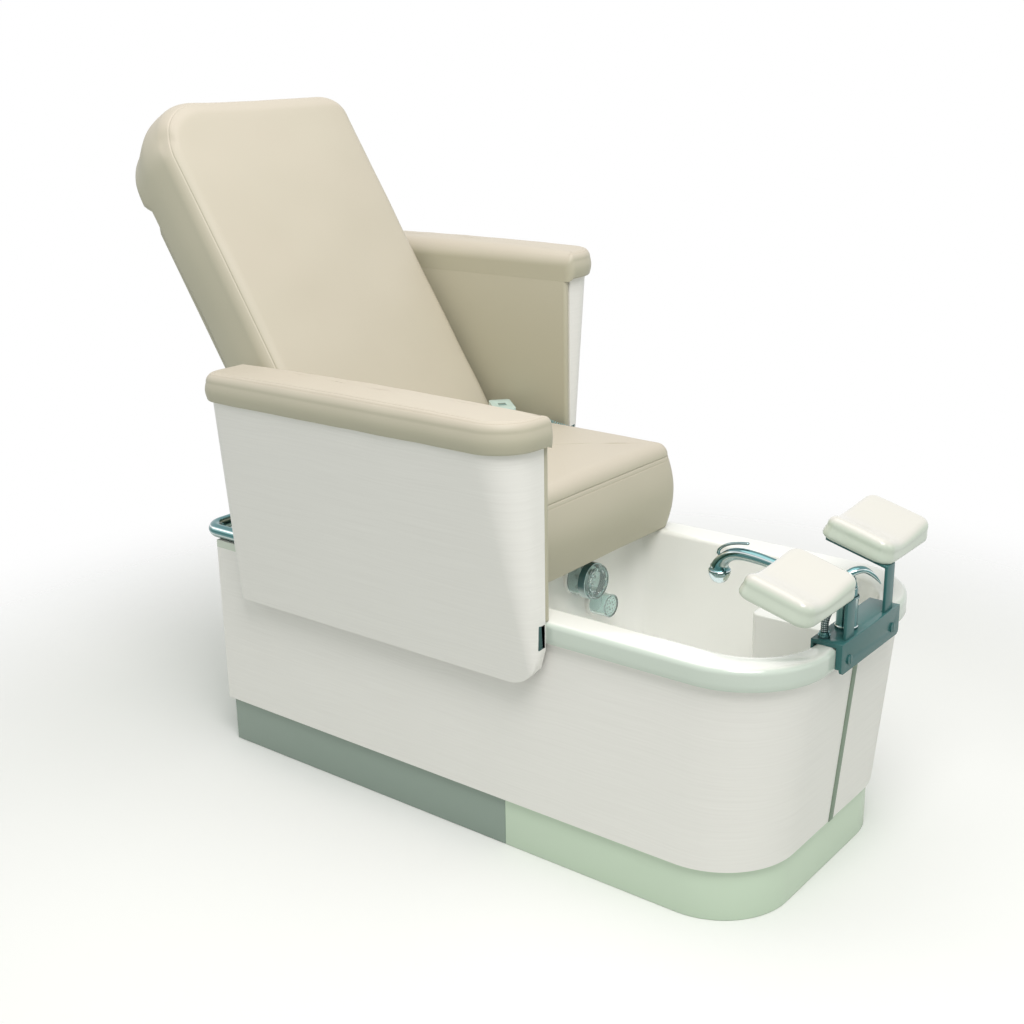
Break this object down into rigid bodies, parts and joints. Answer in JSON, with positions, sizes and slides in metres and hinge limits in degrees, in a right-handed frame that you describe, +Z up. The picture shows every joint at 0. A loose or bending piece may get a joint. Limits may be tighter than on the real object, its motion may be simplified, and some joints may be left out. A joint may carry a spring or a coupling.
{
  "type": "pedicure bench",
  "caption": "Spa pedicure bench: a reclining upholstered seat with lift-up arms on a laminate base, over a foot basin with water jet, faucet and footrests.",
  "frame": {"origin": "middle of the base cabinet on the floor", "axes": "+X towards the basin end, +Y to the sitter's left (the far side in the picture), +Z up"},
  "size_m": [1.7457, 0.89, 1.4317],
  "materials": {
    "timber": "sanded plywood",
    "plinth_green": "satin",
    "plinth_grey": "satin",
    "frame_steel": "satin",
    "laminate": "fine brushed grain, satin",
    "acrylic": "polished",
    "pipe_plastic": "satin",
    "chrome": "polished",
    "dark_chrome": "polished, teal tint",
    "clear_plastic": "clear",
    "leather": "soft fine grain, satin",
    "rubber": "matte",
    "dark_plastic": "matte",
    "mint_plastic": "satin"
  },
  "bodies": {
    "base": {"base_pan": "timber", "plinth_front": "plinth_green", "plinth_rear": "plinth_grey", "base_frame": "frame_steel", "side_panel_near": "laminate", "side_panel_far": "laminate", "rear_panel": "laminate", "front_seam_strip": "plinth_grey", "rear_deck": "laminate", "rear_rail": "chrome", "foot_basin": "acrylic", "drain_flange": "chrome", "drain_pipe": "pipe_plastic", "jet_housing": "clear_plastic", "jet_collar": "dark_chrome", "jet_motor": "frame_steel", "intake_strainer": "clear_plastic", "mixing_valve": "frame_steel", "supply_pipe": "frame_steel", "faucet_body": "chrome", "braided_hose": "chrome", "hose_collar": "chrome", "footrest_bracket": "dark_chrome", "bracket_screws": "chrome", "seat_rails": "frame_steel", "control_box": "dark_plastic", "lift_brackets": "frame_steel"},
    "drain_stopper": {"drain_stopper": "chrome"},
    "jet_impeller": {"jet_impeller": "clear_plastic"},
    "spout": {"faucet_spout": "chrome", "spray_nozzle": "clear_plastic"},
    "spray_lever": {"spray_lever": "chrome"},
    "mixer_handle": {"mixer_handle": "chrome"},
    "footrest_near": {"footrest_post_near": "dark_chrome", "foot_pad_near": "acrylic"},
    "footrest_far": {"footrest_post_far": "dark_chrome", "foot_pad_far": "acrylic"},
    "seat": {"seat_carriage": "frame_steel", "seat_board": "timber", "seat_cushion": "leather", "recline_motor": "dark_plastic", "handset": "mint_plastic", "handset_cord": "rubber", "cord_gland": "rubber"},
    "handset_rocker": {"handset_rocker": "dark_plastic"},
    "backrest": {"back_board": "timber", "back_cover": "leather", "back_cushion": "leather"},
    "front_link_near": {"front_link_near": "frame_steel"},
    "rear_link_near": {"rear_link_near": "frame_steel"},
    "front_link_far": {"front_link_far": "frame_steel"},
    "rear_link_far": {"rear_link_far": "frame_steel"},
    "arm_near": {"arm_panel_near": "leather", "arm_shell_near": "laminate", "arm_pad_near": "leather", "arm_bumper_near": "rubber"},
    "arm_far": {"arm_panel_far": "leather", "arm_shell_far": "laminate", "arm_pad_far": "leather", "arm_bumper_far": "rubber"}
  },
  "joints": [
    {"name": "stopper_lift", "type": "slide", "parent": "base", "child": "drain_stopper", "axis": [0, 0, 1], "range_m": [0, 0.012]},
    {"name": "impeller_spin", "type": "hinge", "parent": "base", "child": "jet_impeller", "pos_m": [0.045, 0.045, 0.455], "axis": [1, 0, 0], "continuous": true},
    {"name": "spout_swivel", "type": "hinge", "parent": "base", "child": "spout", "pos_m": [0.692, -0.038, 0.6], "axis": [0, 0, 1], "range_deg": [-34, 4]},
    {"name": "spray_press", "type": "hinge", "parent": "spout", "child": "spray_lever", "pos_m": [0.414, -0.018, 0.6059], "axis": [0, 1, 0], "range_deg": [0, 3], "stiffness_Nm_per_rad": 0.2, "springref_deg": -5.73},
    {"name": "mixer_turn", "type": "hinge", "parent": "base", "child": "mixer_handle", "pos_m": [0.692, -0.038, 0.62], "axis": [0, 0, 1], "range_deg": [-30, 30]},
    {"name": "footrest_near_height", "type": "slide", "parent": "base", "child": "footrest_near", "axis": [0, 0, 1], "range_m": [0, 0.02]},
    {"name": "footrest_far_height", "type": "slide", "parent": "base", "child": "footrest_far", "axis": [0, 0, 1], "range_m": [-0.02, 0]},
    {"name": "seat_travel", "type": "slide", "parent": "base", "child": "seat", "axis": [1, 0, 0], "range_m": [-0.06, 0.06]},
    {"name": "rocker_tilt", "type": "hinge", "parent": "seat", "child": "handset_rocker", "pos_m": [-0.312, 0.238, 0.7448], "axis": [0.6691, 0.7431, 0], "range_deg": [-4, 4], "stiffness_Nm_per_rad": 0.05},
    {"name": "back_recline", "type": "hinge", "parent": "seat", "child": "backrest", "pos_m": [-0.42, 0, 0.6], "axis": [0, -1, 0], "range_deg": [0, 25]},
    {"name": "arm_lift_near", "type": "hinge", "parent": "base", "child": "front_link_near", "pos_m": [-0.41, -0.329, 0.44], "axis": [0, -1, 0], "range_deg": [0, 96.6]},
    {"name": "arm_level_near", "type": "hinge", "parent": "front_link_near", "child": "arm_near", "pos_m": [-0.12468, -0.329, 0.53271], "axis": [0, -1, 0], "range_deg": [-96.7, 0.1]},
    {"name": "rear_link_near_turn", "type": "hinge", "parent": "base", "child": "rear_link_near", "pos_m": [-0.56, -0.329, 0.44], "axis": [0, -1, 0], "range_deg": [-0.1, 96.7]},
    {"name": "arm_lift_far", "type": "hinge", "parent": "base", "child": "front_link_far", "pos_m": [-0.41, 0.329, 0.44], "axis": [0, -1, 0], "range_deg": [-96.6, 0]},
    {"name": "arm_level_far", "type": "hinge", "parent": "front_link_far", "child": "arm_far", "pos_m": [-0.53488, 0.329, 0.71277], "axis": [0, -1, 0], "range_deg": [-0.1, 96.7]},
    {"name": "rear_link_far_turn", "type": "hinge", "parent": "base", "child": "rear_link_far", "pos_m": [-0.56, 0.329, 0.44], "axis": [0, -1, 0], "range_deg": [-96.7, 0.1]}
  ],
  "couplings": [
    {"joint": "arm_level_near", "follows": "arm_lift_near", "ratio": -1},
    {"joint": "rear_link_near_turn", "follows": "arm_lift_near", "ratio": 1},
    {"joint": "arm_level_far", "follows": "arm_lift_far", "ratio": -1},
    {"joint": "rear_link_far_turn", "follows": "arm_lift_far", "ratio": 1}
  ]
}
